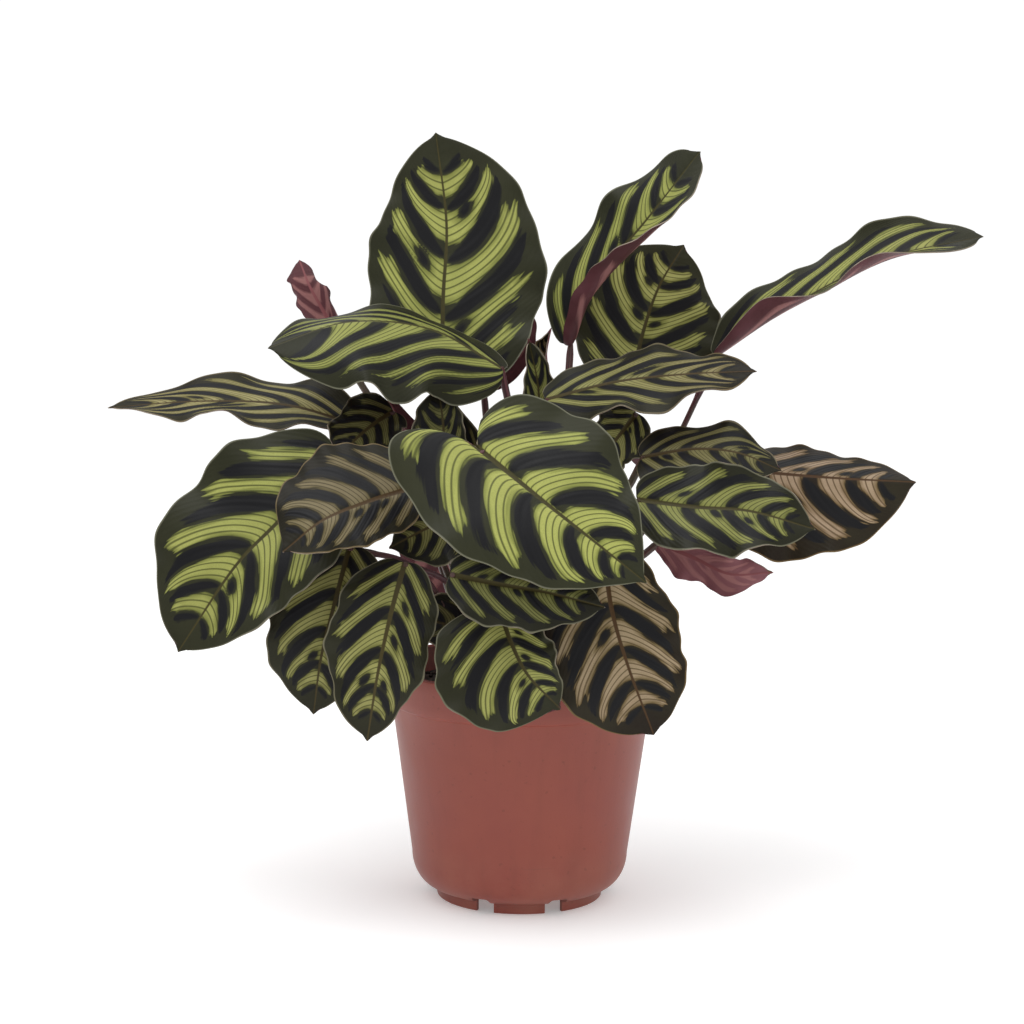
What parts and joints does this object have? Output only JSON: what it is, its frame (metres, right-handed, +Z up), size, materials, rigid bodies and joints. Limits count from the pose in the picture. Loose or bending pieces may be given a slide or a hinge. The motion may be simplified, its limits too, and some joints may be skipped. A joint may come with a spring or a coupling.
{
  "type": "potted peacock plant",
  "caption": "Bushy prayer plant with boldly patterned oval leaves on slender stalks, standing in soil in a small round tapered plastic pot.",
  "frame": {"origin": "on the pot's axis, at the surface it stands on", "axes": "+Z up along the pot's axis; the viewer stands at -Y, so +X is the plant's right as seen from the front"},
  "size_m": [0.3691, 0.2364, 0.3291],
  "materials": {
    "pot_plastic": "satin",
    "potting_soil": "matte",
    "leaf_stalk": "satin",
    "leaf_green": "satin",
    "leaf_tan": "satin",
    "leaf_shade": "satin",
    "leaf_maroon": "satin"
  },
  "bodies": {
    "root": {"leaf_back_left_rolled": "leaf_maroon", "leaf_back_upright": "leaf_green", "leaf_centre_left_dark": "leaf_shade", "leaf_centre_right_small": "leaf_green", "leaf_far_left": "leaf_tan", "leaf_far_right_rolled": "leaf_green", "leaf_far_right_tan": "leaf_tan", "leaf_front_centre_broad": "leaf_green", "leaf_front_centre_hanging": "leaf_green", "leaf_front_dark_low": "leaf_shade", "leaf_front_left_hanging": "leaf_green", "leaf_front_right_hanging": "leaf_tan", "leaf_inner_left_dark": "leaf_shade", "leaf_inner_shade": "leaf_shade", "leaf_inner_upright_narrow": "leaf_shade", "leaf_low_left_hanging": "leaf_green", "leaf_lower_left_broad": "leaf_green", "leaf_mid_left_tan": "leaf_tan", "leaf_rear_hanging": "leaf_green", "leaf_rear_left_broad": "leaf_green", "leaf_rear_right_broad": "leaf_green", "leaf_rear_upright": "leaf_green", "leaf_right_dark": "leaf_shade", "leaf_right_lower_green": "leaf_green", "leaf_right_olive": "leaf_tan", "leaf_right_underside": "leaf_maroon", "leaf_right_upright": "leaf_green", "leaf_upper_left": "leaf_green", "leaf_upper_right_twisted": "leaf_green", "leaf_young_spear": "leaf_maroon", "pot": "pot_plastic", "soil": "potting_soil", "stalk_back_left_rolled": "leaf_stalk", "stalk_back_upright": "leaf_stalk", "stalk_centre_left_dark": "leaf_stalk", "stalk_centre_right_small": "leaf_stalk", "stalk_far_left": "leaf_stalk", "stalk_far_right_rolled": "leaf_stalk", "stalk_far_right_tan": "leaf_stalk", "stalk_front_centre_broad": "leaf_stalk", "stalk_front_centre_hanging": "leaf_stalk", "stalk_front_dark_low": "leaf_stalk", "stalk_front_left_hanging": "leaf_stalk", "stalk_front_right_hanging": "leaf_stalk", "stalk_inner_left_dark": "leaf_stalk", "stalk_inner_shade": "leaf_stalk", "stalk_low_left_hanging": "leaf_stalk", "stalk_lower_left_broad": "leaf_stalk", "stalk_mid_left_tan": "leaf_stalk", "stalk_rear_hanging": "leaf_stalk", "stalk_rear_left_broad": "leaf_stalk", "stalk_rear_right_broad": "leaf_stalk", "stalk_rear_upright": "leaf_stalk", "stalk_right_dark": "leaf_stalk", "stalk_right_lower_green": "leaf_stalk", "stalk_right_olive": "leaf_stalk", "stalk_right_underside": "leaf_stalk", "stalk_right_upright": "leaf_stalk", "stalk_upper_left": "leaf_stalk", "stalk_upper_right_twisted": "leaf_stalk"}
  },
  "joints": []
}
